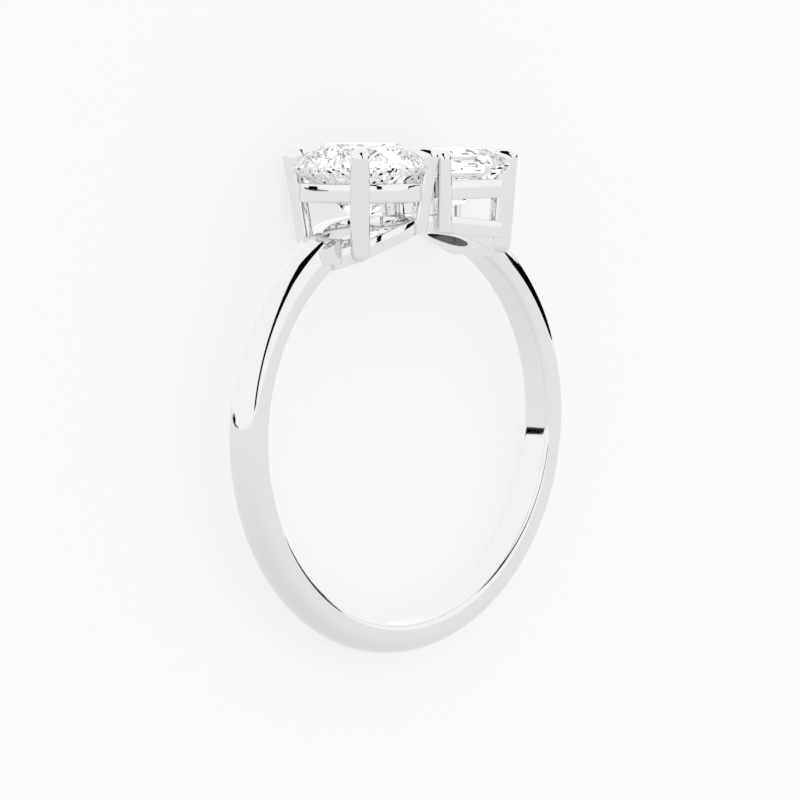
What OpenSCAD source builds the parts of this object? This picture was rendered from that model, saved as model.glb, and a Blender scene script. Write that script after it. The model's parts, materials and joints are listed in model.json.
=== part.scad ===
// Ring with two stones side by side, round and rectangular, on one slim band.
// It is drawn standing, with its finger hole along Y and its head up, and is then laid on its side,
// where it rests on the rim of the round stone and on the edge of the band.
// All sizes are in millimetres.

/* [Band] */
// Diameter of the finger hole
finger_d = 16.5; // [15:0.1:19]
// Width of the band along the finger
band_w = 1.48; // [1.2:0.02:2]
// Thickness of the band at its sides
band_t = 1.3; // [1.1:0.02:1.8]
// How much thicker the band is at the head than at its sides
band_swell = 0.045; // [0:0.005:0.1]
// Radius of the comfort rounding along the edges of the finger hole
comfort_r = 0.23; // [0.1:0.01:0.35]

/* [Bridge] */
// Thickness of the bridge under the stones
bridge_t = 0.68; // [0.5:0.02:0.9]
// Width of the bridge under the rectangular stone
bridge_w = 3; // [2.6:0.05:3.4]
// Distance of the bridge's end under the rectangular stone from the ring's middle
bridge_reach = 4.3; // [4.1:0.05:4.6]
// Rounding of the bridge's corners
bridge_corner_r = 0.35; // [0.2:0.05:0.6]
// Width of the shoulder, where the band widens below the round stone
shoulder_w = 2.1; // [1.9:0.05:2.6]
// Distance from the ring's middle at which the shoulder has narrowed to the band
shoulder_reach = 5.4; // [5.2:0.05:6]
// Thickness of the shoulder
shoulder_t = 1.05; // [0.9:0.01:1.2]
// Height of the shoulder's underside above the finger hole's middle
shoulder_z = 7.05; // [6.9:0.05:7.4]
// Diameter of the opening under the round stone
round_opening_d = 3.1; // [2.4:0.1:3.4]
// Diameter of the opening under the rectangular stone
radiant_opening_d = 1.7; // [1.4:0.1:2]

/* [Round stone] */
// Diameter of the round stone
round_d = 5.55; // [5.2:0.01:5.6]
// Distance of its middle from the ring's middle
round_off = 2.45; // [2.4:0.01:2.7]
// Height of its girdle above the top of the finger hole
round_rise = 2.67; // [2.6:0.01:3.2]
// Crown height above the girdle
round_crown = 0.98; // [0.7:0.01:1.1]
// Pavilion depth below the girdle
round_pavilion = 2.35; // [2.1:0.01:2.5]
// Table width, corner to corner
round_table_d = 3.1; // [2.8:0.05:3.5]

/* [Rectangular stone] */
// Length of the rectangular stone, across the head
radiant_l = 4.6; // [4.3:0.02:4.7]
// Width of the rectangular stone, along the finger
radiant_w = 3.8; // [3.5:0.02:4]
// How far its corners are cropped
radiant_crop = 0.56; // [0.4:0.02:0.7]
// Distance of its middle from the ring's middle
radiant_off = 2.7; // [2.65:0.01:3]
// Height of its girdle above the top of the finger hole
radiant_rise = 2.69; // [2.6:0.01:3.2]
// Crown height above the girdle
radiant_crown = 0.67; // [0.5:0.01:0.85]
// Pavilion depth below the girdle
radiant_pavilion = 1.8; // [1.5:0.01:1.9]
// Thickness of the girdle of both stones
girdle_t = 0.09; // [0.05:0.01:0.15]

/* [Prongs] */
// Width of a prong, round its stone
prong_w = 0.8; // [0.7:0.02:0.9]
// Depth of a prong at its tip, from its back to where it ends over its stone
prong_d = 1.15; // [1.05:0.01:1.3]
// Depth of a prong of the round basket below the stone
round_prong_d = 0.74; // [0.65:0.01:0.95]
// Depth of a prong of the rectangular basket below the stone
radiant_prong_d = 1; // [0.8:0.01:1.05]
// How far a prong of the round basket stands above the girdle
round_prong_top = 0.78; // [0.6:0.01:0.9]
// Lean of the prongs of the round basket
round_lean = 9.3; // [6:0.1:11]
// How far the prongs of the round basket stand out from its rail
round_prong_out = 0.4; // [0.35:0.01:0.45]
// Height of the prong feet of the round basket above the finger hole's middle
round_foot_z = 7; // [6.8:0.05:7.3]
// How far a prong of the rectangular basket stands above the girdle
radiant_prong_top = 0.66; // [0.5:0.01:0.7]
// Lean of the prongs of the rectangular basket
radiant_lean = 4.4; // [2:0.1:7]
// How far the prongs of the rectangular basket stand out from its stone's corners
radiant_prong_out = 0.29; // [0.2:0.01:0.35]
// Height of the prong feet of the rectangular basket above the finger hole's middle
radiant_foot_z = 7.15; // [6.9:0.05:7.5]
// Space between a stone and the metal that holds it
seat_gap = 0.03; // [0.01:0.01:0.06]

/* [Rails] */
// Height of a rail
rail_h = 0.8; // [0.6:0.02:0.9]
// Wall of the round basket's rail
rail_t = 0.5; // [0.4:0.02:0.6]
// Drop from a girdle to the top of the rail below it
rail_drop = 0.6; // [0.5:0.02:0.8]
// How far a rail stays inside the edge of its stone
rail_inset = 0.19; // [0.1:0.01:0.3]
// Rounding of the rails' edges
rail_r = 0.12; // [0.05:0.01:0.18]
// Height of the rectangular basket's lower rail
low_rail_h = 0.72; // [0.6:0.02:0.8]
// Wall of the lower rail
low_rail_t = 0.6; // [0.5:0.02:0.7]
// Tilt of the lower rail
low_rail_tilt = 6; // [4:0.5:9]
// Height of its middle above the top of the finger hole
low_rail_rise = 0.1; // [0.05:0.01:0.25]

/* [Hidden] */
$fn = 64;
metal = [0.86, 0.86, 0.87];
gem = [0.93, 0.96, 1, 0.5];
over = 1;
cut_high = 20;

finger_r = finger_d / 2;
dome_r = band_w / 2;
crest_r = finger_r + band_t - dome_r;
bridge_r = finger_r + bridge_t;
round_r = round_d / 2;
round_z = finger_r + round_rise;
radiant_z = finger_r + radiant_rise;
round_x = -round_off;
radiant_x = radiant_off;

// Rails. The round basket's lower ring lies in the bridge, as far out as the prongs' lean brings it there.
round_rail_r = round_r - rail_inset;
round_rail_top = round_z - rail_drop;
radiant_rail_top = radiant_z - rail_drop;
radiant_rail_l = radiant_l - 2 * rail_inset;
radiant_rail_w = radiant_w - 2 * rail_inset;
rail_crop_share = 0.6;
radiant_rail_r = rail_crop_share * radiant_crop;
low_ring_r = round_rail_r - (round_rail_top - bridge_r) * tan(round_lean);
shoulder_slope = 0.35;

// Prongs stand at the corners of their stones and lean about the height of the rail's middle. The feet of
// the round basket's prongs are trimmed flush with the finger hole.
flush = 0.02;
back_round = 0.499;
foot_round = 0.45;
tip_round = 0.42;
end_width = 1.02;
round_back = round_rail_r + round_prong_out;
radiant_corner = [radiant_l - radiant_crop, radiant_w - radiant_crop] / 2;
radiant_back = norm(radiant_corner) + radiant_prong_out;
radiant_turn = atan2(radiant_corner[1], radiant_corner[0]);

// Each row is a ring of the rectangular stone's corners.
// inset: share of half the stone's width that the ring stays inside the girdle
// level: share of the crown's height, or of the pavilion's depth where it is negative
// crop: share of the girdle's crop
RADIANT_RINGS = [
    [0.00, 0.00, 1.00],
    [0.17, 0.55, 0.95],
    [0.41, 1.00, 0.72],
    [0.30, -0.45, 0.90],
    [0.62, -0.80, 0.55]
];
RING_INSET = 0;
RING_LEVEL = 1;
RING_CROP = 2;
keel_share = 0.5;

// Where the round stone's lower facets meet its main facets, as a share of its radius
lower_share = 0.24;

function turned(r, a, z) = [r * cos(a), r * sin(a), z];

// Corners of a round brilliant about its own middle, with the girdle's middle at z = 0.
// Kite facets run from the table's corners to the girdle, and their side corners lie in their planes.
function brilliant(r, table_r, crown, pavilion, girdle) =
    let (
        half = girdle / 2,
        step = 45,
        kite = (crown - half) / (r - table_r),
        main = (pavilion - half) / r,
        star_r = (table_r * cos(step / 2) + r) / 2,
        lower_r = lower_share * r
    )
    concat(
        [for (i = [0:7]) turned(table_r, i * step, crown)],
        [for (i = [0:7]) turned(star_r, (i + 0.5) * step, crown - (star_r * cos(step / 2) - table_r) * kite)],
        [for (i = [0:31], s = [-1, 1]) turned(r, i * step / 4, s * half)],
        [for (i = [0:7]) turned(lower_r, (i + 0.5) * step, lower_r * cos(step / 2) * main - pavilion)],
        [[0, 0, -pavilion]]
    );

// Eight corners of a rectangle with cropped corners
function cropped(l, w, crop, z) =
    [for (p = [[l / 2, w / 2 - crop], [l / 2 - crop, w / 2]], sx = [-1, 1], sy = [-1, 1])
        [sx * p[0], sy * p[1], z]];

// Corners of the rectangular stone about its own middle, with the girdle's middle at z = 0
function radiant(l, w, crop, crown, pavilion, girdle) =
    let (half = girdle / 2)
    concat(
        [for (row = RADIANT_RINGS)
            let (
                inset = row[RING_INSET] * w,
                up = row[RING_LEVEL] > 0,
                z = up ? half + row[RING_LEVEL] * (crown - half) : -half + row[RING_LEVEL] * (pavilion - half)
            )
            each cropped(l - inset, w - inset, row[RING_CROP] * crop, z)],
        cropped(l, w, crop, half),
        [for (s = [-1, 1]) [s * keel_share * (l - w) / 2, 0, -pavilion]]
    );

// A box section with rounded corners, from its lower inner corner
module soft_section(w, h, r) {
    translate([r, 0]) square([w - 2 * r, h]);
    translate([0, r]) square([w, h - 2 * r]);
    for (x = [r, w - r], y = [r, h - r]) translate([x, y]) circle(r);
}

// A rectangle with round corners about its middle
module soft_plan(l, w, r) {
    square([l - 2 * r, w], center = true);
    square([l, w - 2 * r], center = true);
    for (x = [-1, 1], y = [-1, 1]) translate([x * (l / 2 - r), y * (w / 2 - r)]) circle(r);
}

module along_finger() {
    rotate([90, 0, 0]) children();
}

module finger_bore() {
    along_finger() cylinder(h = cut_high, r = finger_r, center = true);
}

// Band: a flat-sided section with a round back, rounded lightly along the finger hole
module band() {
    difference() {
        translate([0, 0, band_swell]) along_finger() rotate_extrude() {
            translate([crest_r, 0]) circle(dome_r);
            translate([finger_r - over, -dome_r]) square([crest_r - finger_r + over, band_w]);
        }
        along_finger() rotate_extrude() {
            translate([0, -band_w]) square([finger_r, 2 * band_w]);
            for (s = [-1, 1]) difference() {
                translate([finger_r - comfort_r, s > 0 ? dome_r - comfort_r : -band_w])
                    square([2 * comfort_r, band_w - dome_r + comfort_r]);
                translate([finger_r + comfort_r, s * (dome_r - comfort_r)]) circle(comfort_r);
            }
        }
    }
}

// Room of the two baskets inside their rails, above the bridge
module basket_room() {
    difference() {
        union() {
            translate([round_x, 0, 0]) cylinder(h = cut_high, r = low_ring_r);
            translate([radiant_x, 0, 0]) linear_extrude(cut_high)
                soft_plan(radiant_rail_l, radiant_rail_w, radiant_rail_r);
            translate([round_x, -band_w, 0]) cube([radiant_x - round_x, 2 * band_w, cut_high]);
        }
        along_finger() cylinder(h = cut_high, r = bridge_r, center = true);
    }
}

// Shoulder below the round stone, with upright walls and a level underside
module shoulder() {
    intersection() {
        along_finger() cylinder(h = cut_high, r = finger_r + shoulder_t, center = true);
        translate([0, 0, shoulder_z]) linear_extrude(cut_high) polygon([
            [0, -shoulder_w / 2], [shoulder_slope - shoulder_reach, -shoulder_w / 2],
            [-shoulder_reach, -dome_r], [-shoulder_reach, dome_r],
            [shoulder_slope - shoulder_reach, shoulder_w / 2], [0, shoulder_w / 2]
        ]);
    }
}

// The bridge follows the finger hole under both stones
module bridge() {
    intersection() {
        along_finger() cylinder(h = cut_high, r = bridge_r, center = true);
        linear_extrude(cut_high) {
            translate([round_x, 0]) circle(low_ring_r);
            translate([(round_x + bridge_reach) / 2, 0])
                soft_plan(bridge_reach - round_x, bridge_w, bridge_corner_r);
        }
    }
}

// One opening below each stone
module openings() {
    translate([round_x, 0, 0]) cylinder(h = cut_high, r = round_opening_d / 2);
    translate([radiant_x, 0, 0]) cylinder(h = cut_high, r = radiant_opening_d / 2);
}

// One prong about the place where its back meets the height of the rail's middle, leaning outwards towards
// its tip. Its back is round, its inner side is flat, and it reaches inwards over the stone at its tip.
// Its tip and foot are rounded.
module prong(d, lean, tip, foot, girdle) {
    rotate([0, lean, 0]) intersection() {
        translate([-prong_d / 2, 0, foot]) linear_extrude(tip - foot)
            soft_plan(prong_d, prong_w, back_round * prong_w);
        rotate([90, 0, 90]) linear_extrude(4 * prong_d, center = true)
            translate([0, (tip + foot) / 2]) soft_plan(end_width * prong_w, tip - foot, prong_w / 2);
        rotate([90, 0, 0]) linear_extrude(2 * prong_d, center = true) {
            translate([-d / 2, (tip + foot) / 2]) soft_plan(d + flush, tip - foot, foot_round * d);
            translate([-prong_d / 2, (tip + girdle) / 2])
                soft_plan(prong_d + flush, tip - girdle, tip_round * prong_d);
        }
    }
}

module round_basket() {
    translate([round_x, 0, round_rail_top - rail_h]) rotate_extrude()
        translate([round_rail_r - rail_t, 0]) soft_section(rail_t, rail_h, rail_r);
    for (a = [45:90:315]) translate([round_x, 0, round_rail_top - rail_h / 2]) rotate([0, 0, a])
        translate([round_back, 0, 0])
            prong(round_prong_d, round_lean, round_z + round_prong_top - round_rail_top + rail_h / 2,
                round_foot_z - round_rail_top + rail_h / 2, round_z - round_rail_top);
}

module radiant_basket() {
    translate([radiant_x, 0, radiant_rail_top - rail_h]) linear_extrude(rail_h) difference() {
        soft_plan(radiant_rail_l, radiant_rail_w, radiant_rail_r);
        soft_plan(radiant_rail_l - 2 * rail_t, radiant_rail_w - 2 * rail_t, radiant_rail_r / 2);
    }
    translate([radiant_x, 0, finger_r + low_rail_rise]) rotate([0, low_rail_tilt, 0])
        linear_extrude(low_rail_h, center = true) difference() {
            soft_plan(radiant_rail_l, radiant_rail_w, radiant_rail_r);
            soft_plan(radiant_rail_l - 2 * low_rail_t, radiant_rail_w - 2 * low_rail_t, radiant_rail_r / 2);
        }
    for (a = [radiant_turn, 180 - radiant_turn, 180 + radiant_turn, -radiant_turn])
        translate([radiant_x, 0, radiant_rail_top - rail_h / 2]) rotate([0, 0, a])
            translate([radiant_back, 0, 0])
                prong(radiant_prong_d, radiant_lean,
                    radiant_z + radiant_prong_top - radiant_rail_top + rail_h / 2,
                    radiant_foot_z - radiant_rail_top + rail_h / 2, radiant_z - radiant_rail_top);
}

// The room that each stone needs in the metal
module stone_room() {
    translate([round_x, 0, round_z])
        hull() brilliant_solid(round_r + seat_gap, round_table_d / 2 + seat_gap, round_crown + seat_gap,
            round_pavilion + seat_gap, girdle_t + seat_gap);
    translate([radiant_x, 0, radiant_z])
        hull() radiant_solid(radiant_l + 2 * seat_gap, radiant_w + 2 * seat_gap, radiant_crop,
            radiant_crown + seat_gap, radiant_pavilion + seat_gap, girdle_t + seat_gap);
}

module point_solid(points) {
    hull() polyhedron(points, [for (i = [2:len(points) - 1]) [0, i - 1, i]]);
}

module brilliant_solid(r, table_r, crown, pavilion, girdle) {
    point_solid(brilliant(r, table_r, crown, pavilion, girdle));
}

module radiant_solid(l, w, crop, crown, pavilion, girdle) {
    point_solid(radiant(l, w, crop, crown, pavilion, girdle));
}

// The whole metalwork, standing
module mount_standing() {
    difference() {
        union() {
            difference() {
                union() {
                    band();
                    shoulder();
                }
                basket_room();
            }
            bridge();
            round_basket();
            radiant_basket();
        }
        finger_bore();
        openings();
        stone_room();
    }
}

// Resting place. The plane that the ring lies on touches the round stone's girdle and the band, and the
// ring's balance point stands over the line between the two.
balance_x = 0.05;
balance_share = 0.28;
balance_z = balance_share * finger_r;
lean_guess = 0.1;
lean_steps = 5;
girdle_low = round_z - girdle_t / 2;
to_balance = [balance_x - round_x, balance_z - girdle_low];
reach = let (mid = [round_x, girdle_low] * to_balance / norm(to_balance))
    sqrt(mid * mid - round_x * round_x - girdle_low * girdle_low + crest_r * crest_r) - mid;
foot_at = [round_x, girdle_low] + reach * to_balance / norm(to_balance);
foot_turn = atan2(foot_at[0], -foot_at[1]);
function lean_of(k, n) = n == 0 ? k : lean_of(
    (round_r * sqrt(1 + pow(k * sin(foot_turn), 2)) - dome_r * sqrt(1 + k * k))
        / (crest_r - round_x * sin(foot_turn) + (girdle_low - band_swell) * cos(foot_turn)), n - 1);
lean = lean_of(lean_guess, lean_steps);
down = [lean * sin(foot_turn), 1, -lean * cos(foot_turn)] / sqrt(1 + lean * lean);
row_x = let (v = [1, 0, 0] - down[0] * down) v / norm(v);
row_y = -cross(down, row_x);
floor_gap = crest_r * lean / sqrt(1 + lean * lean) + dome_r + down[2] * band_swell;
top_y = max([for (s = [-1, 1]) row_y * [round_x, s * round_table_d / 2, round_z + round_crown]]);
low_y = row_y[2] * band_swell - crest_r * norm([row_y[0], row_y[2]]) - dome_r;

module laid_down() {
    translate([0, -(top_y + low_y) / 2, floor_gap])
        multmatrix([[row_x[0], row_x[1], row_x[2], 0], [row_y[0], row_y[1], row_y[2], 0],
            [-down[0], -down[1], -down[2], 0], [0, 0, 0, 1]])
            children();
}

module ring_mount() {
    color(metal) laid_down() mount_standing();
}

module round_stone() {
    color(gem) laid_down() translate([round_x, 0, round_z])
        brilliant_solid(round_r, round_table_d / 2, round_crown, round_pavilion, girdle_t);
}

module radiant_stone() {
    color(gem) laid_down() translate([radiant_x, 0, radiant_z])
        radiant_solid(radiant_l, radiant_w, radiant_crop, radiant_crown, radiant_pavilion, girdle_t);
}

ring_mount();
round_stone();
radiant_stone();
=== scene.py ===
"""The ring's finished metal and stones, and the plain studio they are seen in.

The metalwork is drawn standing, in millimetres, with the finger hole along Y and the head up, and is then
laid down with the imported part. The sizes repeat the part's own, apart from the small rounded edges.
"""
import json
import math

import bmesh
import bpy
from mathutils import Matrix, Vector
from mathutils.geometry import delaunay_2d_cdt

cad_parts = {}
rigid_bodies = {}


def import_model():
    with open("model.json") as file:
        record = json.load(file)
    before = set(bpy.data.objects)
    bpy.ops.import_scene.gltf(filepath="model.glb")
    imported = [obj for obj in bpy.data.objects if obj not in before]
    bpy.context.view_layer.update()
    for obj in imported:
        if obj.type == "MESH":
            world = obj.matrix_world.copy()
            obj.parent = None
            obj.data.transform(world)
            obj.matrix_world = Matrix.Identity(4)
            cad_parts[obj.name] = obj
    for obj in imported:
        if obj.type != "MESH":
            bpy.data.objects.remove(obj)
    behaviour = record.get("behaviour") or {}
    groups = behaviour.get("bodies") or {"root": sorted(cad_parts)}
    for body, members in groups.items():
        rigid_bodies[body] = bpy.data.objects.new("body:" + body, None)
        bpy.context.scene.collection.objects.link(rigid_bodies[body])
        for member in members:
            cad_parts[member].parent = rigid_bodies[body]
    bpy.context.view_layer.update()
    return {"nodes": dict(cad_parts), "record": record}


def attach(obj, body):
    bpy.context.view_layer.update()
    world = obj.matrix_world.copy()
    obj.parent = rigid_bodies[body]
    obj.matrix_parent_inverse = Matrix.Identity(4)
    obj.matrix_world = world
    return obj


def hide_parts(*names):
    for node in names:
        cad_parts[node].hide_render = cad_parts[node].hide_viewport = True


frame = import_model()

MM = 0.001

# Sizes of the ring, in millimetres
FINGER_R = 8.25
BAND_W = 1.48
BAND_T = 1.3
BAND_SWELL = 0.045
COMFORT_R = 0.23
BRIDGE_R = 8.93
BRIDGE_W = 3.0
BRIDGE_REACH = 4.3
BRIDGE_CORNER_R = 0.35
SHOULDER_W = 2.1
SHOULDER_REACH = 5.4
SHOULDER_SLOPE = 0.35
SHOULDER_T = 1.05
SHOULDER_Z = 7.05
SHOULDER_H = 3
SHOULDER_NEAR_X = -3.9
ROUND_X = -2.45
ROUND_Z = 10.92
ROUND_R = 2.775
ROUND_OPENING_R = 1.55
RADIANT_X = 2.7
RADIANT_Z = 10.94
RADIANT_L = 4.6
RADIANT_W = 3.8
RADIANT_CROP = 0.56
RADIANT_OPENING_R = 0.85
RAIL_INSET = 0.19
RAIL_H = 0.8
RAIL_T = 0.5
RAIL_DROP = 0.6
RAIL_EDGE = 0.12
RAIL_CROP_SHARE = 0.6
LOW_RAIL_H = 0.72
LOW_RAIL_T = 0.6
LOW_RAIL_TILT = 6.0
LOW_RAIL_Z = 8.35
PRONG_W = 0.8
PRONG_D = 1.15
ROUND_PRONG = {"depth": 0.74, "lean": 9.3, "top": 0.78, "out": 0.4}
RADIANT_PRONG = {"depth": 1.0, "lean": 4.4, "top": 0.66, "out": 0.29}
ROUND_FOOT_Z = 7.0
RADIANT_FOOT_Z = 7.15
SEAT_GAP = 0.03
EDGE = 0.045

# How far a piece stands off or reaches into its neighbour, so that no two faces lie in one place
HIDE = 0.006
BAND_IN_RING = 0.02
BAND_IN_BRIDGE = 0.05

# Tools that cut a piece to shape: their heights, and the number of flats round a cylinder
DRUM_H = 24.0
BORE_H = 8.0
ROOM_H = 20.0
ROOM_Z = 12.0
ROOM_L = 4.0
FINE_SIDES = 512
RING_SIDES = 256

# Angles between faces, in degrees, over which an edge gets rounded or stays crisp
ROUNDED_OVER = 40
CRISP_OVER = 32

# Steps round the corners of a section or a plan
BAND_CORNER_STEPS = 20
RAIL_CORNER_STEPS = 8
PLAN_CORNER_STEPS = 10
EDGE_STEPS = 4

ROUND_RAIL_R = ROUND_R - RAIL_INSET
ROUND_RAIL_Z = ROUND_Z - RAIL_DROP - RAIL_H / 2
ROUND_PRONG_SLOPE = math.tan(math.radians(ROUND_PRONG["lean"]))
LOW_RING_R = ROUND_RAIL_R - (ROUND_RAIL_Z + RAIL_H / 2 - BRIDGE_R) * ROUND_PRONG_SLOPE
RADIANT_RAIL_Z = RADIANT_Z - RAIL_DROP - RAIL_H / 2
RADIANT_RAIL_L = RADIANT_L - 2 * RAIL_INSET
RADIANT_RAIL_W = RADIANT_W - 2 * RAIL_INSET
RADIANT_RAIL_R = RAIL_CROP_SHARE * RADIANT_CROP


def standing_place(hole):
    """The matrix that takes the standing ring, in millimetres, to where the part lies."""
    along = -Vector(hole["axis"]).normalized()
    across = Vector((-along.z, 0, along.x)).normalized()
    up = across.cross(along)
    turn = Matrix((across, along, up)).transposed().to_4x4()
    return Matrix.Translation(hole["pos_m"]) @ turn @ Matrix.Scale(MM, 4)


STAND = standing_place(next(m for m in frame["record"]["mounts"] if m["name"] == "finger_hole"))
TURN = STAND.to_3x3().normalized()
UP = Vector((0, 0, 1))


# Node trees

class Value:
    """A socket that takes part in sums."""

    def __init__(self, tree, socket):
        self.tree, self.socket = tree, socket

    def sum(self, kind, a, b):
        made = add_node(self.tree, "ShaderNodeMath", {"operation": kind}, {0: a, 1: b})
        return Value(self.tree, made.outputs[0])

    def __add__(self, other):
        return self.sum("ADD", self, other)

    def __radd__(self, other):
        return self.sum("ADD", other, self)

    def __sub__(self, other):
        return self.sum("SUBTRACT", self, other)

    def __rsub__(self, other):
        return self.sum("SUBTRACT", other, self)

    def __mul__(self, other):
        return self.sum("MULTIPLY", self, other)

    def __rmul__(self, other):
        return self.sum("MULTIPLY", other, self)

    def __truediv__(self, other):
        return self.sum("DIVIDE", self, other)

    def __lt__(self, other):
        return self.sum("LESS_THAN", self, other)

    def __gt__(self, other):
        return self.sum("GREATER_THAN", self, other)


def add_node(tree, kind, settings=None, sockets=None):
    """Adds a node: its settings first, then the values or links of its sockets, by name or number."""
    made = tree.nodes.new(kind)
    for key, value in (settings or {}).items():
        if key == "stops":
            ramp = made.color_ramp.elements
            while len(ramp) < len(value):
                ramp.new(1)
            for stop, (place, colour) in zip(ramp, value):
                stop.position, stop.color = place, colour
        else:
            setattr(made, key, value)
    for key, value in (sockets or {}).items():
        value = value.socket if isinstance(value, Value) else value
        if isinstance(value, bpy.types.NodeSocket):
            tree.links.new(value, made.inputs[key])
        else:
            made.inputs[key].default_value = value
    return made


class Shape:
    """A geometry tree with named sizes."""

    def __init__(self, name):
        self.tree = bpy.data.node_groups.new(name, "GeometryNodeTree")
        self.tree.interface.new_socket("Geometry", in_out="INPUT", socket_type="NodeSocketGeometry")
        self.tree.interface.new_socket("Geometry", in_out="OUTPUT", socket_type="NodeSocketGeometry")
        self.ids = {}
        self.group = self.tree.nodes.new("NodeGroupInput")

    def size(self, name, kind="NodeSocketFloat"):
        item = self.tree.interface.new_socket(name, in_out="INPUT", socket_type=kind)
        self.ids[name] = item.identifier
        return Value(self.tree, next(s for s in self.group.outputs if s.identifier == item.identifier))

    def node(self, kind, settings=None, sockets=None):
        return add_node(self.tree, kind, settings, sockets)

    def vector(self, x=0.0, y=0.0, z=0.0):
        return self.node("ShaderNodeCombineXYZ", None, {0: x, 1: y, 2: z}).outputs[0]

    def moved(self, geometry, place=None, turn=None):
        sockets = {"Geometry": geometry}
        if place is not None:
            sockets["Translation"] = place
        if turn is not None:
            sockets["Rotation"] = turn
        return self.node("GeometryNodeTransform", None, sockets).outputs[0]

    def without(self, body, *cutters):
        made = self.node("GeometryNodeMeshBoolean", {"operation": "DIFFERENCE", "solver": "EXACT"},
                         {"Mesh 1": body})
        for cutter in cutters:
            self.tree.links.new(cutter, made.inputs["Mesh 2"])
        return made.outputs["Mesh"]

    def common(self, *bodies):
        made = self.node("GeometryNodeMeshBoolean", {"operation": "INTERSECT", "solver": "EXACT"})
        for body in bodies:
            self.tree.links.new(body, made.inputs["Mesh 2"])
        return made.outputs["Mesh"]

    def drum(self, radius, place=None, turn=None, height=DRUM_H, sides=FINE_SIDES):
        made = self.node("GeometryNodeMeshCylinder", None,
                         {"Vertices": sides, "Radius": radius, "Depth": height})
        return self.moved(made.outputs[0], place, turn)

    def close(self, geometry):
        finish = self.size("Finish", "NodeSocketMaterial")
        real = self.node("GeometryNodeRealizeInstances", None, {"Geometry": geometry})
        coated = self.node("GeometryNodeSetMaterial", None, {"Geometry": real.outputs[0], "Material": finish})
        end = self.tree.nodes.new("NodeGroupOutput")
        self.tree.links.new(coated.outputs[0], end.inputs[0])
        return self

    def make(self, name, finish, **sizes):
        """A plain mesh, standing and in millimetres, made by this tree with these sizes."""
        ob = put(name, bpy.data.meshes.new(name))
        mod = ob.modifiers.new("shape", "NODES")
        mod.node_group = self.tree
        mod[self.ids["Finish"]] = finish
        for key, value in sizes.items():
            mod[self.ids[key.replace("_", " ").capitalize()]] = value
        depsgraph = bpy.context.evaluated_depsgraph_get()
        mesh = bpy.data.meshes.new_from_object(ob.evaluated_get(depsgraph), depsgraph=depsgraph)
        ob.modifiers.remove(mod)
        ob.data = mesh
        return ob


def put(name, data):
    ob = bpy.data.objects.new(name, data)
    bpy.context.scene.collection.objects.link(ob)
    return ob


def from_bmesh(name, bm, finish=None):
    mesh = bpy.data.meshes.new(name)
    bmesh.ops.recalc_face_normals(bm, faces=bm.faces)
    bm.to_mesh(mesh)
    bm.free()
    if finish:
        mesh.materials.append(finish)
    return put(name, mesh)


# Finishes

def grey(tone):
    return (tone, tone, tone, 1)


BLACK = grey(0.0)
WHITE_GOLD = ((0.79, 0.79, 0.795, 1), (0.82, 0.82, 0.825, 1))
GOLD_CLOUDS = 300.0
WHEEL_MARKS = 9000.0
POLISH = 0.035
MARKS_ROUGH = 0.03
MARKS_RELIEF = 0.1
RIPPLE = {"Strength": 0.03, "Distance": 0.00002}
# Painted shade for the wall of the opening under the rectangular stone: a dark metal colour, and a rougher
# polish
PAINTED_WALL_SHADE = grey(0.13)
OPENING_WALL_ROUGH = 0.12
COLOURLESS = grey(0.99)
# A faint glow of the stones, painted light, though they are no lamp
PAINTED_STONE_GLOW = 0.1
# Cells of painted dark reflection and painted glints of colour in a metre, along the standing ring's width,
# depth and height
ROUND_PAINTED_CELLS = (8600.0, 8600.0, 1900.0)
RADIANT_PAINTED_CELLS = (3200.0, 3200.0, 14000.0)

# Painted glints of colour in a few spots of the stones, which also glow in them: where their row starts among
# all the spots, and each one's place in it
PAINTED_FIRE_FROM = 0.9
PAINTED_FIRE_COLOURS = ((0.2, (0.35, 0.15, 0.9, 1)), (0.5, (0.2, 0.5, 1, 1)), (0.8, (1, 0.75, 0.35, 1)))


class Finish:
    """A material and the calls that add its nodes."""

    def __init__(self, name, **fixed):
        self.material = bpy.data.materials.new(name)
        self.material.use_nodes = True
        self.tree = self.material.node_tree
        self.shader = self.tree.nodes["Principled BSDF"]
        for key, value in fixed.items():
            self.shader.inputs[key.replace("_", " ")].default_value = value
        self.place = self.node("ShaderNodeTexCoord").outputs["Object"]

    def node(self, kind, settings=None, sockets=None):
        return add_node(self.tree, kind, settings, sockets)

    def noise(self, scale, detail=3.0, rough=0.5):
        made = self.node("ShaderNodeTexNoise", None,
                         {"Vector": self.place, "Scale": scale, "Detail": detail, "Roughness": rough})
        return Value(self.tree, made.outputs["Fac"])

    def mix(self, factor, a, b):
        made = self.node("ShaderNodeMix", {"data_type": "RGBA"}, {0: factor, 6: a, 7: b})
        return made.outputs[2]

    def along(self, axis):
        """How far a point of the piece lies along one axis of the standing ring, in metres."""
        made = self.node("ShaderNodeVectorMath", {"operation": "DOT_PRODUCT"},
                         {0: self.place, 1: tuple(TURN @ Vector(axis))})
        return Value(self.tree, made.outputs["Value"])

    def paint_dark_reflection(self, mask):
        """Dull black wherever the mask is one: painted dark reflection."""
        dull = self.node("ShaderNodeBsdfDiffuse", None, {"Color": BLACK})
        mixed = self.node("ShaderNodeMixShader", None,
                          {0: mask, 1: self.shader.outputs[0], 2: dull.outputs[0]})
        self.tree.links.new(mixed.outputs[0], self.tree.nodes["Material Output"].inputs[0])

    def feed(self, **varying):
        for key, value in varying.items():
            value = value.socket if isinstance(value, Value) else value
            self.tree.links.new(value, self.shader.inputs[key.replace("_", " ")])


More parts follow.
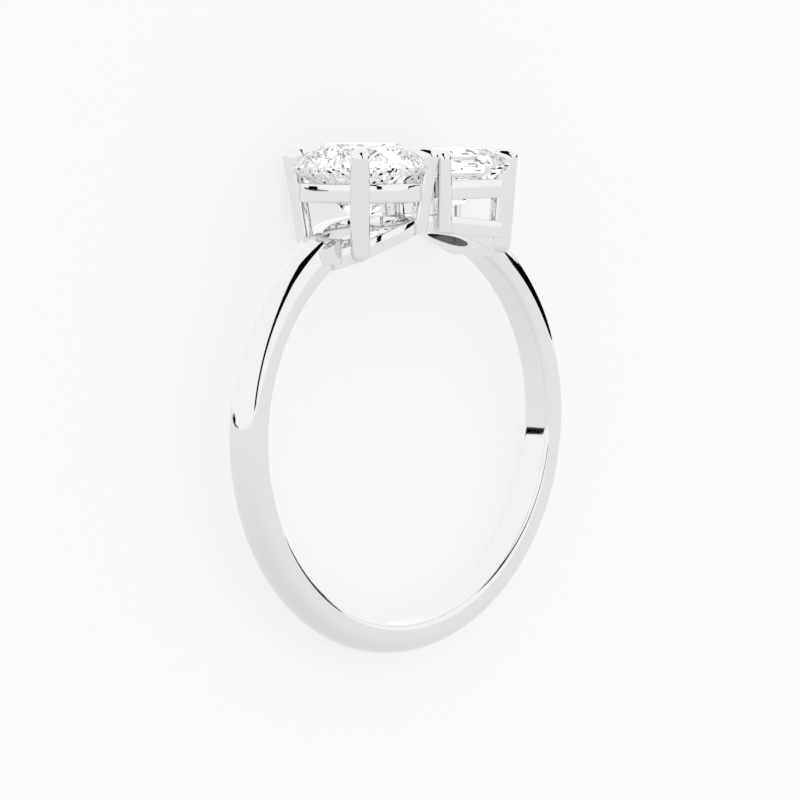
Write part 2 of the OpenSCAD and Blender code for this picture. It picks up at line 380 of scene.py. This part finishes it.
def polished_metal(name="polished_white_gold", opening=None):
    """White gold: a mirror polish, with the faint waviness and wheel marks that polishing leaves.

    The wall of an opening, given by a point on its axis and its radius, gets painted shade: a darker colour
    that stands in for the shade inside the opening, and a rougher polish.
    """
    metal = Finish(name, Metallic=1.0, IOR=1.5)
    cloud = metal.noise(GOLD_CLOUDS, 2.0)
    marks = metal.noise(WHEEL_MARKS, 2.0)
    colour = metal.mix(cloud, *WHITE_GOLD)
    rough = POLISH + marks * MARKS_ROUGH
    if opening:
        middle, radius = opening
        from_middle = metal.node("ShaderNodeVectorMath", {"operation": "SUBTRACT"},
                                 {0: metal.place, 1: tuple(STAND @ middle)})
        across = metal.node("ShaderNodeVectorMath", {"operation": "CROSS_PRODUCT"},
                            {0: from_middle.outputs[0], 1: tuple(TURN @ UP)})
        off_axis = metal.node("ShaderNodeVectorMath", {"operation": "LENGTH"}, {0: across.outputs[0]})
        # Painted shade: the wall of the opening is coloured darker
        wall = Value(metal.tree, off_axis.outputs["Value"]) < radius * MM
        colour = metal.mix(wall, colour, PAINTED_WALL_SHADE)
        rough = rough + wall * OPENING_WALL_ROUGH
    metal.feed(Base_Color=colour, Roughness=rough)
    ripple = metal.node("ShaderNodeBump", None, {**RIPPLE, "Height": cloud + marks * MARKS_RELIEF})
    metal.feed(Normal=ripple.outputs["Normal"])
    return metal.material


def clear_stone(name, painted_cells, dark=0.09, painted_fire=0.012):
    """Colourless stone, with a faint painted glow. Its facets send back most of the light, cut by fine
    painted dark reflections and a rare painted glint of colour.

    Painted cells is the number of painted strokes in a metre along the standing ring's width, depth and
    height.
    Dark is the share of the facets under the girdle that the painted dark reflections cover, so they are seen
    through the crown. Painted fire is the share of the stone that shows a painted glint of colour.
    """
    stone = Finish(name, Transmission_Weight=1.0, IOR=2.42, Roughness=0.0, Emission_Strength=PAINTED_STONE_GLOW)
    reach = [stone.along(axis) for axis in ((1, 0, 0), (0, 1, 0), (0, 0, 1))]
    spots = stone.node("ShaderNodeCombineXYZ", None, {i: reach[i] * painted_cells[i] for i in range(3)})
    cells = stone.node("ShaderNodeTexVoronoi", None, {"Vector": spots.outputs[0], "Scale": 1.0})
    lot = stone.node("ShaderNodeSeparateColor", None, {0: cells.outputs["Color"]})
    stops = [(0.0, COLOURLESS), (PAINTED_FIRE_FROM, COLOURLESS)]
    stops += [(PAINTED_FIRE_FROM + painted_fire * place, colour) for place, colour in PAINTED_FIRE_COLOURS]
    stops.append((PAINTED_FIRE_FROM + painted_fire, COLOURLESS))
    tone_and_painted_fire = stone.node("ShaderNodeValToRGB", {"stops": stops}, {0: lot.outputs[0]})
    # Painted light: the stone's own colour and its painted glints of colour also glow
    stone.feed(Base_Color=tone_and_painted_fire.outputs[0], Emission_Color=tone_and_painted_fire.outputs[0])
    girdle = (TURN.transposed() @ STAND.translation).z + ROUND_Z * MM
    # Painted dark reflections: dull black cells on the facets under the girdle
    stone.paint_dark_reflection(Value(stone.tree, lot.outputs[1]) < (reach[2] < girdle) * dark)
    return stone.material


METAL = polished_metal()
# The bridge's metal, with painted shade on the wall of the opening under the rectangular stone
BRIDGE_METAL_WITH_PAINTED_SHADE = polished_metal("polished_bridge_painted_shade", (Vector((RADIANT_X, 0, 0)), RADIANT_OPENING_R + HIDE))
ROUND_STONE = clear_stone("clear_round_stone", ROUND_PAINTED_CELLS)
RADIANT_STONE = clear_stone("clear_radiant_stone", RADIANT_PAINTED_CELLS)
DULL = Finish("dull_black", Base_Color=BLACK, Roughness=1.0, Specular_IOR_Level=0.0).material


# Band, rails and prongs, which follow a path or repeat

# The band's path: its start and its sweep in degrees, and the number of points along it
BAND_FROM = -244
BAND_SWEEP = 308
BAND_STEPS = 360

# Corner radius of a full round, as a share of the width, so that two corners just fit side by side
FULL_ROUND = 0.4995

# A prong's rows of points along its straight part and round each end, and the points in a row
PRONG_ROWS = 30
PRONG_END_ROWS = 14
PRONG_SIDES = 40

# Where a claw starts below the girdle, and the height in which it reaches its full depth
CLAW_BELOW = 0.25
CLAW_RISE = 0.4

# How far a prong's ends draw in, as a share of its depth, and how fast its sides turn into its round back
TIP_PULL = 0.42
FOOT_PULL = 0.45
CORNER_SHARPNESS = 6

# Turns a piece drawn about Z to lie along the finger hole
ALONG_FINGER = (math.pi / 2, 0, 0)


def band_tree():
    """A D-shaped section swept round the finger hole, and ended where it meets the two baskets."""
    shape = Shape("band")
    finger_r, width, thick = shape.size("Finger r"), shape.size("Width"), shape.size("Thickness")
    swell, comfort = shape.size("Swell"), shape.size("Comfort")
    ring_x, ring_r, end_x = shape.size("Ring x"), shape.size("Ring r"), shape.size("End x")
    section = shape.node("GeometryNodeCurvePrimitiveQuadrilateral", {"mode": "RECTANGLE"},
                         {"Width": thick, "Height": width})
    spot = shape.node("GeometryNodeInputPosition").outputs[0]
    side = Value(shape.tree, shape.node("ShaderNodeSeparateXYZ", None, {0: spot}).outputs[0])
    outside = side > 0.0
    corner = outside * (width * FULL_ROUND) + (1.0 - outside) * comfort
    soft = shape.node("GeometryNodeFilletCurve", {"mode": "POLY"},
                      {"Curve": section.outputs[0], "Count": BAND_CORNER_STEPS, "Radius": corner})
    path = shape.node("GeometryNodeCurveArc", {"mode": "RADIUS"}, {
        "Resolution": BAND_STEPS, "Radius": finger_r + thick / 2.0,
        "Start Angle": math.radians(BAND_FROM), "Sweep Angle": math.radians(BAND_SWEEP)})
    swept = shape.node("GeometryNodeCurveToMesh", None,
                       {"Curve": path.outputs[0], "Profile Curve": soft.outputs[0], "Fill Caps": True})
    upright = shape.moved(swept.outputs[0], turn=ALONG_FINGER)
    at = shape.node("ShaderNodeSeparateXYZ", None, {0: shape.node("GeometryNodeInputPosition").outputs[0]})
    from_axis = shape.vector(at.outputs[0], 0.0, at.outputs[2])
    far = shape.node("ShaderNodeVectorMath", {"operation": "LENGTH"}, {0: from_axis})
    rise = Value(shape.tree, far.outputs["Value"]) - finger_r - comfort
    share = shape.node("ShaderNodeClamp", None, {0: rise / (thick - width / 2.0 - comfort)})
    swollen = shape.node("GeometryNodeSetPosition", None, {
        "Geometry": upright, "Offset": shape.vector(z=Value(shape.tree, share.outputs[0]) * swell)})
    ring_room = shape.drum(ring_r, shape.vector(x=ring_x, z=ROOM_Z), height=ROOM_H, sides=RING_SIDES)
    block = shape.node("GeometryNodeMeshCube", None, {"Size": shape.vector(ROOM_L, ROOM_L, ROOM_H)})
    block_room = shape.moved(block.outputs[0], shape.vector(x=end_x - ROOM_L / 2, z=ROOM_Z))
    return shape.close(shape.without(swollen.outputs[0], ring_room, block_room))


def seated_tree():
    """A body set in its place, with the room for a stone taken out of it."""
    shape = Shape("seated")
    body, seat = shape.size("Body", "NodeSocketObject"), shape.size("Seat", "NodeSocketObject")
    place, turn = shape.size("Place", "NodeSocketVector"), shape.size("Turn", "NodeSocketVector")
    start = shape.node("GeometryNodeObjectInfo", None, {"Object": body})
    stone = shape.node("GeometryNodeObjectInfo", {"transform_space": "RELATIVE"}, {"Object": seat})
    placed = shape.moved(start.outputs["Geometry"], place, turn)
    return shape.close(shape.without(placed, stone.outputs["Geometry"]))


def round_rail_tree():
    """A soft-edged section swept in a circle."""
    shape = Shape("round_rail")
    radius, height = shape.size("Radius"), shape.size("Height")
    wall, edge = shape.size("Wall"), shape.size("Edge")
    section = shape.node("GeometryNodeCurvePrimitiveQuadrilateral", {"mode": "RECTANGLE"},
                         {"Width": wall, "Height": height})
    soft = shape.node("GeometryNodeFilletCurve", {"mode": "POLY"},
                      {"Curve": section.outputs[0], "Count": RAIL_CORNER_STEPS, "Radius": edge})
    path = shape.node("GeometryNodeCurvePrimitiveCircle", {"mode": "RADIUS"},
                      {"Resolution": RING_SIDES, "Radius": radius - wall / 2.0})
    swept = shape.node("GeometryNodeCurveToMesh", None,
                       {"Curve": path.outputs[0], "Profile Curve": soft.outputs[0]})
    return shape.close(swept.outputs[0])


def arc(cx, cy, r, start, end, count):
    step = (end - start) / count
    return [(cx + r * math.cos(start + step * i), cy + r * math.sin(start + step * i))
            for i in range(count + 1)]


def soft_plan(length, width, corner):
    """The outline of a rectangle with round corners."""
    loop = []
    for k, (sx, sy) in enumerate(((1, 1), (-1, 1), (-1, -1), (1, -1))):
        loop += arc(sx * (length / 2 - corner), sy * (width / 2 - corner), corner,
                    math.pi / 2 * k, math.pi / 2 * (k + 1), PLAN_CORNER_STEPS)
    return loop


def square_rail(name, height, wall):
    """A rail with upright walls and soft edges round the rectangular stone, about its own middle."""
    turns = [math.pi / 2 * i / EDGE_STEPS for i in range(EDGE_STEPS + 1)]
    low_edge = [(EDGE * (1 - math.sin(t)), -height / 2 + EDGE * (1 - math.cos(t))) for t in turns]
    side = low_edge + [(inset, -z) for inset, z in reversed(low_edge)]
    rows = [(RADIANT_RAIL_L - 2 * inset, RADIANT_RAIL_W - 2 * inset, RADIANT_RAIL_R - inset, z)
            for inset, z in side]
    rows += [(RADIANT_RAIL_L - 2 * wall + 2 * inset, RADIANT_RAIL_W - 2 * wall + 2 * inset,
              RADIANT_RAIL_R / 2 + inset, z) for inset, z in reversed(side)]
    bm = bmesh.new()
    loops = [[bm.verts.new((x, y, z)) for x, y in soft_plan(length, width, corner)]
             for length, width, corner, z in rows]
    for low, high in zip(loops, loops[1:] + loops[:1]):
        for i in range(len(low)):
            k = (i + 1) % len(low)
            bm.faces.new((low[i], low[k], high[k], high[i]))
    return from_bmesh(name, bm)


def rail(name, body, seat, place, turn=(0, 0, 0)):
    """Sets a rail in its place below its stone."""
    made = SEATED.make(name, METAL, body=body, seat=seat, place=place, turn=turn)
    bpy.data.objects.remove(body)
    return made


def prong_tree():
    """One prong set at each place, turned outwards, and notched for the stone."""
    shape = Shape("prongs")
    places, prong = shape.size("Places", "NodeSocketObject"), shape.size("Prong", "NodeSocketObject")
    seat, middle = shape.size("Seat", "NodeSocketObject"), shape.size("Middle", "NodeSocketVector")
    lean, finger_r = shape.size("Lean"), shape.size("Finger r")
    spots = shape.node("GeometryNodeObjectInfo", None, {"Object": places})
    one = shape.node("GeometryNodeObjectInfo", None, {"Object": prong})
    stone = shape.node("GeometryNodeObjectInfo", {"transform_space": "RELATIVE"}, {"Object": seat})
    at = shape.node("ShaderNodeSeparateXYZ", None, {0: shape.node("GeometryNodeInputPosition").outputs[0]})
    angle = shape.node("ShaderNodeMath", {"operation": "ARCTAN2"}, {0: at.outputs[1], 1: at.outputs[0]})
    turn = shape.vector(y=lean, z=angle.outputs[0])
    stood = shape.node("GeometryNodeInstanceOnPoints", None, {
        "Points": spots.outputs["Geometry"], "Instance": one.outputs["Geometry"], "Rotation": turn})
    real = shape.node("GeometryNodeRealizeInstances", None, {"Geometry": stood.outputs[0]})
    placed = shape.moved(real.outputs[0], middle)
    hole = shape.drum(finger_r, turn=ALONG_FINGER, height=BORE_H)
    return shape.close(shape.without(placed, stone.outputs["Geometry"], hole))


def seat_of(node_name):
    """The room that a stone needs in the metal: its own shape, standing and a little larger."""
    bm = bmesh.new()
    bm.from_mesh(frame["nodes"][node_name].data)
    bmesh.ops.transform(bm, matrix=STAND.inverted(), verts=bm.verts)
    bmesh.ops.remove_doubles(bm, verts=bm.verts, dist=0.001)
    low = Vector([min(v.co[i] for v in bm.verts) for i in range(3)])
    high = Vector([max(v.co[i] for v in bm.verts) for i in range(3)])
    middle, half = (low + high) / 2, (high - low) / 2
    for v in bm.verts:
        v.co = middle + Vector([(v.co[i] - middle[i]) * (1 + SEAT_GAP / half[i]) for i in range(3)])
    return from_bmesh(node_name + "_seat", bm)


def prong_form(name, depth, tip, foot, girdle):
    """A prong with a round back, a claw that reaches over the stone, and soft ends. Its back is at x = 0."""
    end_r = PRONG_W / 2
    turns = [math.pi / 2 * i / PRONG_END_ROWS for i in range(PRONG_END_ROWS)]
    levels = [foot + end_r * (1 - math.cos(t)) for t in turns]
    levels += [foot + end_r + (tip - foot - 2 * end_r) * i / PRONG_ROWS for i in range(PRONG_ROWS + 1)]
    levels += [tip - end_r + end_r * math.sin(t) for t in turns[1:]]
    bm = bmesh.new()
    rings = []
    for z in levels:
        t = min(1.0, min(z - foot, tip - z) / end_r)
        round_off = math.sqrt(max(0.0, 1 - (1 - t) ** 2))
        claw = min(1.0, max(0.0, (z - girdle + CLAW_BELOW) / CLAW_RISE))
        reach = depth + (PRONG_D - depth) * claw * claw * (3 - 2 * claw)
        end_pull = TIP_PULL * PRONG_D if z > girdle else FOOT_PULL * depth
        half_w = PRONG_W / 2 * round_off
        half_d = reach / 2 - (1 - round_off) * end_pull
        corner = min(half_w, half_d)
        ring = []
        for k in range(PRONG_SIDES):
            a = 2 * math.pi * k / PRONG_SIDES
            c, s = math.cos(a), math.sin(a)
            out = (half_d - corner) * (1 if c > 0 else -1) * min(1, abs(c) * CORNER_SHARPNESS)
            ring.append(bm.verts.new((out - reach / 2 + corner * c, half_w * s, z)))
        rings.append(ring)
    for low, high in zip(rings, rings[1:]):
        for k in range(PRONG_SIDES):
            n = (k + 1) % PRONG_SIDES
            bm.faces.new((low[k], low[n], high[n], high[k]))
    for ring, z in ((rings[0], foot), (rings[-1], tip)):
        end = bm.verts.new((sum(v.co.x for v in ring) / PRONG_SIDES, 0, z))
        for k in range(PRONG_SIDES):
            bm.faces.new((ring[k], ring[(k + 1) % PRONG_SIDES], end))
    return from_bmesh(name, bm)


def prongs(name, corners, stone_x, stone_z, rail_z, sizes, foot, seat):
    """Four prongs at the corners of a stone."""
    spots = bpy.data.meshes.new(name + "_spots")
    backs = [Vector(c).normalized() * (Vector(c).length + sizes["out"]) for c in corners]
    spots.from_pydata([(b.x, b.y, 0) for b in backs], [], [])
    places = put(name + "_places", spots)
    tip = stone_z + sizes["top"]
    form = prong_form(name + "_form", sizes["depth"], tip - rail_z, foot - rail_z, stone_z - rail_z)
    made = PRONGS.make(name, METAL, places=places, prong=form, seat=seat, middle=(stone_x, 0, rail_z),
                       lean=math.radians(sizes["lean"]), finger_r=FINGER_R)
    for spare in (places, form):
        bpy.data.objects.remove(spare)
    return made


# Bridge and shoulder

# Points between the outline and the openings, which let the plate follow the finger hole
GRID = 0.13
GRID_COLUMNS = range(-38, 36)
GRID_ROWS = range(-18, 19)
ROW_SHARE = 0.866
GRID_CLEAR = 0.1


def bridge_outline():
    """The bridge's plan, with a round end under the round stone and a soft square end under the other."""
    half, corner = BRIDGE_W / 2, BRIDGE_CORNER_R
    meet = math.asin(half / LOW_RING_R)
    meet_x = ROUND_X + LOW_RING_R * math.cos(meet)
    turn_x = BRIDGE_REACH - corner
    round_steps, side_steps, corner_steps, end_steps = 110, 45, 8, 24
    outline = arc(ROUND_X, 0, LOW_RING_R, meet, 2 * math.pi - meet, round_steps)[1:-1]
    straight = [(meet_x + (turn_x - meet_x) * i / side_steps, -half) for i in range(side_steps + 1)]
    outline += straight
    outline += arc(turn_x, corner - half, corner, -math.pi / 2, 0, corner_steps)[1:]
    outline += [(BRIDGE_REACH, corner - half + (BRIDGE_W - 2 * corner) * i / end_steps)
                for i in range(1, end_steps)]
    outline += arc(turn_x, half - corner, corner, 0, math.pi / 2, corner_steps)
    outline += [(x, half) for x, _ in reversed(straight[:-1])]
    return outline


def inside(point, loop):
    x, y = point
    hit = False
    for (x0, y0), (x1, y1) in zip(loop, loop[1:] + loop[:1]):
        if (y0 > y) != (y1 > y) and x < x0 + (y - y0) * (x1 - x0) / (y1 - y0):
            hit = not hit
    return hit


def on_plate(point, outer, holes):
    return inside(point, outer) and not any(inside(point, hole) for hole in holes)


def gap_to(point, loop):
    return min(math.dist(point, p) for p in loop)


def soft_edges(bm, size):
    """Rounds every edge that isn't part of a smooth face."""
    bm.normal_update()
    sharp = [e for e in bm.edges
             if len(e.link_faces) == 2 and e.calc_face_angle(0) > math.radians(ROUNDED_OVER)]
    bmesh.ops.bevel(bm, geom=sharp, offset=size, segments=3, profile=0.5, affect="EDGES",
                    clamp_overlap=True)


def bridge():
    """The plate that follows the finger hole under both stones, with an opening below each."""
    outer = bridge_outline()
    round_steps, radiant_steps = 90, 50
    holes = [arc(ROUND_X, 0, ROUND_OPENING_R, 0, 2 * math.pi, round_steps)[:-1],
             arc(RADIANT_X, 0, RADIANT_OPENING_R, 0, 2 * math.pi, radiant_steps)[:-1]]
    loops = [outer] + holes
    points, edges = [], []
    for loop in loops:
        first = len(points)
        points += loop
        edges += [(first + i, first + (i + 1) % len(loop)) for i in range(len(loop))]
    for i in GRID_COLUMNS:
        for j in GRID_ROWS:
            p = (i * GRID + (j % 2) * GRID / 2, j * GRID * ROW_SHARE)
            if on_plate(p, outer, holes) and min(gap_to(p, loop) for loop in loops) > GRID_CLEAR:
                points.append(p)
    flat, _, faces, *_ = delaunay_2d_cdt([Vector(p) for p in points], edges, [], 0, 1e-6)
    keep = []
    for face in faces:
        middle = sum((flat[i] for i in face), Vector((0, 0))) / len(face)
        if on_plate(middle, outer, holes):
            keep.append(face)
    bm = bmesh.new()
    lower, upper = ([bm.verts.new((p.x, p.y, math.sqrt(r * r - p.x * p.x))) for p in flat]
                    for r in (FINGER_R, BRIDGE_R))
    for face in keep:
        bm.faces.new([upper[i] for i in face])
        bm.faces.new([lower[i] for i in reversed(face)])
    top_verts = set(upper)
    rim = [e.verts for e in list(bm.edges) if len(e.link_faces) == 1 and e.verts[0] in top_verts]
    for a, b in rim:
        bm.faces.new((a, b, lower[upper.index(b)], lower[upper.index(a)]))
    bmesh.ops.delete(bm, geom=[v for v in bm.verts if not v.link_faces], context="VERTS")
    bmesh.ops.recalc_face_normals(bm, faces=bm.faces)
    soft_edges(bm, EDGE)
    return from_bmesh("bridge", bm, BRIDGE_METAL_WITH_PAINTED_SHADE)


def shoulder_tree():
    """A block on the band, trimmed like the band to a hoop, and open where the bridge and the basket are."""
    shape = Shape("shoulder")
    block, hoop_r = shape.size("Block", "NodeSocketObject"), shape.size("Hoop r")
    finger_r, bridge_r = shape.size("Finger r"), shape.size("Bridge r")
    ring_x, ring_r = shape.size("Ring x"), shape.size("Ring r")
    start = shape.node("GeometryNodeObjectInfo", None, {"Object": block})
    hoop, hole, plate = (shape.drum(radius, turn=ALONG_FINGER) for radius in (hoop_r, finger_r, bridge_r))
    room = shape.without(shape.drum(ring_r, place=shape.vector(x=ring_x, z=DRUM_H / 2)), plate)
    return shape.close(shape.without(shape.common(start.outputs["Geometry"], hoop), hole, room))


def shoulder():
    """The band's wider end below the round stone, with upright walls and a level underside."""
    near, far = SHOULDER_NEAR_X, -SHOULDER_REACH
    wide_x = far + SHOULDER_SLOPE
    plan = [(near, -SHOULDER_W / 2), (wide_x, -SHOULDER_W / 2), (far, -BAND_W / 2),
            (far, BAND_W / 2), (wide_x, SHOULDER_W / 2), (near, SHOULDER_W / 2)]
    bm = bmesh.new()
    low, high = ([bm.verts.new((x, y, z)) for x, y in plan] for z in (SHOULDER_Z, SHOULDER_Z + SHOULDER_H))
    bm.faces.new(low)
    bm.faces.new(reversed(high))
    for i in range(len(plan)):
        k = (i + 1) % len(plan)
        bm.faces.new((low[i], high[i], high[k], low[k]))
    soft_edges(bm, EDGE)
    block = from_bmesh("block", bm)
    made = shoulder_tree().make("shoulder", METAL, block=block, hoop_r=FINGER_R + SHOULDER_T,
                                finger_r=FINGER_R + HIDE, bridge_r=BRIDGE_R - HIDE, ring_x=ROUND_X,
                                ring_r=LOW_RING_R - HIDE)
    bpy.data.objects.remove(block)
    return made


def settle(ob):
    """Lays a finished piece down with the part, smooths its shading, and hides the part's own mount."""
    ob.data.transform(STAND)
    ob.data.shade_smooth()
    ob.data.set_sharp_from_angle(angle=math.radians(CRISP_OVER))
    ob.data.validate()
    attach(ob, "root")
    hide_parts("ring_mount")


PRONGS = prong_tree()
SEATED = seated_tree()
round_seat, radiant_seat = seat_of("round_stone"), seat_of("radiant_stone")

round_corners = [(ROUND_RAIL_R * math.cos(a), ROUND_RAIL_R * math.sin(a))
                 for a in (math.pi / 4 + math.pi / 2 * i for i in range(4))]
radiant_corners = [(sx * (RADIANT_L - RADIANT_CROP) / 2, sy * (RADIANT_W - RADIANT_CROP) / 2)
                   for sx in (-1, 1) for sy in (-1, 1)]

metalwork = [
    band_tree().make("band", METAL, finger_r=FINGER_R, width=BAND_W, thickness=BAND_T, swell=BAND_SWELL,
                     comfort=COMFORT_R, ring_x=ROUND_X, ring_r=LOW_RING_R - BAND_IN_RING,
                     end_x=BRIDGE_REACH - BAND_IN_BRIDGE),
    bridge(),
    shoulder(),
    rail("round_rail",
         round_rail_tree().make("round_rail_body", METAL, radius=ROUND_RAIL_R, height=RAIL_H, wall=RAIL_T,
                                edge=RAIL_EDGE),
         round_seat, (ROUND_X, 0, ROUND_RAIL_Z)),
    rail("radiant_rail", square_rail("radiant_rail_body", RAIL_H, RAIL_T), radiant_seat,
         (RADIANT_X, 0, RADIANT_RAIL_Z)),
    rail("low_rail", square_rail("low_rail_body", LOW_RAIL_H, LOW_RAIL_T), radiant_seat,
         (RADIANT_X, 0, LOW_RAIL_Z), (0, math.radians(LOW_RAIL_TILT), 0)),
    prongs("round_prongs", round_corners, ROUND_X, ROUND_Z, ROUND_RAIL_Z, ROUND_PRONG, ROUND_FOOT_Z,
           round_seat),
    prongs("radiant_prongs", radiant_corners, RADIANT_X, RADIANT_Z, RADIANT_RAIL_Z, RADIANT_PRONG,
           RADIANT_FOOT_Z, radiant_seat),
]
for spare in (round_seat, radiant_seat):
    bpy.data.objects.remove(spare)
for piece in metalwork:
    settle(piece)

for name, finish in (("round_stone", ROUND_STONE), ("radiant_stone", RADIANT_STONE)):
    stone_mesh = frame["nodes"][name].data
    if not stone_mesh.materials:
        stone_mesh.materials.append(finish)
    for slot in frame["nodes"][name].material_slots:
        slot.material = finish


# Studio

CARD_FAR = 0.8
FLOOR_HALF = 3.0
FLOOR_GLOW = 0.68
FLOOR_CLOUDS = 12.0
FLOOR_TONES = (grey(0.27), grey(0.28))

# The white tent's tones, from straight below the ring (0) to straight above it (1)
TENT = ((0.0, 0.84), (0.35, 0.93), (0.494, 0.95), (0.506, 1.1), (1.0, 1.1))

# The photograph's camera: its turn and rise about the ring in degrees, its distance in millimetres, its lens
CAMERA_TURN = 45.25
CAMERA_RISE = 5.78
CAMERA_FAR = 146.35
CAMERA_LENS = 157.23
CAMERA_SHIFT = (-0.0031, 0.0344)


def direction(side, rise):
    """A direction in the standing ring's frame, in degrees: round from the near side to the right, and up."""
    side, rise = math.radians(side), math.radians(rise)
    return Vector((math.sin(side) * math.cos(rise), -math.cos(side) * math.cos(rise), math.sin(rise)))


def gap(name, edge_a, edge_b):
    """A gap in the soft light: a dull black card between two rows of directions, seen only in reflections."""
    points = [STAND.translation + TURN @ direction(*spot) * CARD_FAR for spot in edge_a + edge_b]
    count = len(edge_a)
    mesh = bpy.data.meshes.new(name)
    mesh.from_pydata(points, [], [(i, i + 1, count + i + 1, count + i) for i in range(count - 1)])
    ob = put(name, mesh)
    mesh.materials.append(DULL)
    ob.visible_camera = ob.visible_diffuse = ob.visible_shadow = False


def floor():
    """A pale light table."""
    half = FLOOR_HALF
    mesh = bpy.data.meshes.new("floor")
    mesh.from_pydata([(-half, -half, 0), (half, -half, 0), (half, half, 0), (-half, half, 0)], [],
                     [(0, 1, 2, 3)])
    ob = put("floor", mesh)
    paper = Finish("pale_floor", Roughness=0.9, Specular_IOR_Level=0.1, Emission_Color=grey(1),
                   Emission_Strength=FLOOR_GLOW)
    paper.feed(Base_Color=paper.mix(paper.noise(FLOOR_CLOUDS), *FLOOR_TONES))
    mesh.materials.append(paper.material)
    ob.visible_glossy = ob.visible_transmission = False


def studio():
    """A white tent, a little darker below, with three black gaps in it."""
    world = bpy.data.worlds.new("studio")
    bpy.context.scene.world = world
    world.use_nodes = True
    tree = world.node_tree
    way = add_node(tree, "ShaderNodeTexCoord").outputs["Generated"]
    up = add_node(tree, "ShaderNodeVectorMath", {"operation": "DOT_PRODUCT"},
                  {0: way, 1: tuple(TURN @ UP)})
    tone = add_node(tree, "ShaderNodeValToRGB", {"stops": [(place, grey(light)) for place, light in TENT]},
                    {0: Value(tree, up.outputs["Value"]) * 0.5 + 0.5})
    tree.links.new(tone.outputs[0], tree.nodes["Background"].inputs["Color"])
    bpy.context.scene.view_settings.view_transform = "Standard"
    floor()
    gap("upright_gap", [(-15, 2), (-17, 15), (-22, 30), (-30, 45), (-42, 60), (-65, 75)],
        [(-5, 2), (-7, 15), (-10, 30), (-12, 45), (5, 60), (40, 75)])
    gap("level_gap", [(52, 1), (60, 1.5), (70, 1.5), (80, 1.5), (90, 1.5), (118, 1)],
        [(56, 4), (62, 9), (70, 12), (80, 13), (90, 12.5), (118, 8)])
    gap("far_gap", [(-105, 0.4), (-129, 0.3), (-131, 0.2), (-153, 0.2), (-155, 0.3), (-170, 0.4)],
        [(-105, 0.9), (-129, 1.2), (-131, 3.2), (-153, 3.2), (-155, 1.2), (-170, 0.9)])


def camera():
    """The photograph's view of the ring: from the lower left, a little above the head's level."""
    turn, rise = math.radians(CAMERA_TURN), math.radians(CAMERA_RISE)
    back = Vector((-math.sin(turn) * math.cos(rise), -math.cos(turn) * math.cos(rise), math.sin(rise)))
    right = Vector((math.cos(turn), -math.sin(turn), 0))
    up = back.cross(right)
    lens = bpy.data.cameras.new("camera")
    lens.sensor_width = 36.0
    lens.lens = CAMERA_LENS
    lens.shift_x, lens.shift_y = CAMERA_SHIFT
    lens.clip_start = 0.01
    lens.clip_end = 20.0
    ob = put("camera", lens)
    look = Matrix((TURN @ right, TURN @ up, TURN @ back)).transposed().to_4x4()
    ob.matrix_world = Matrix.Translation(STAND @ (back * CAMERA_FAR)) @ look
    bpy.context.scene.camera = ob


studio()
camera()
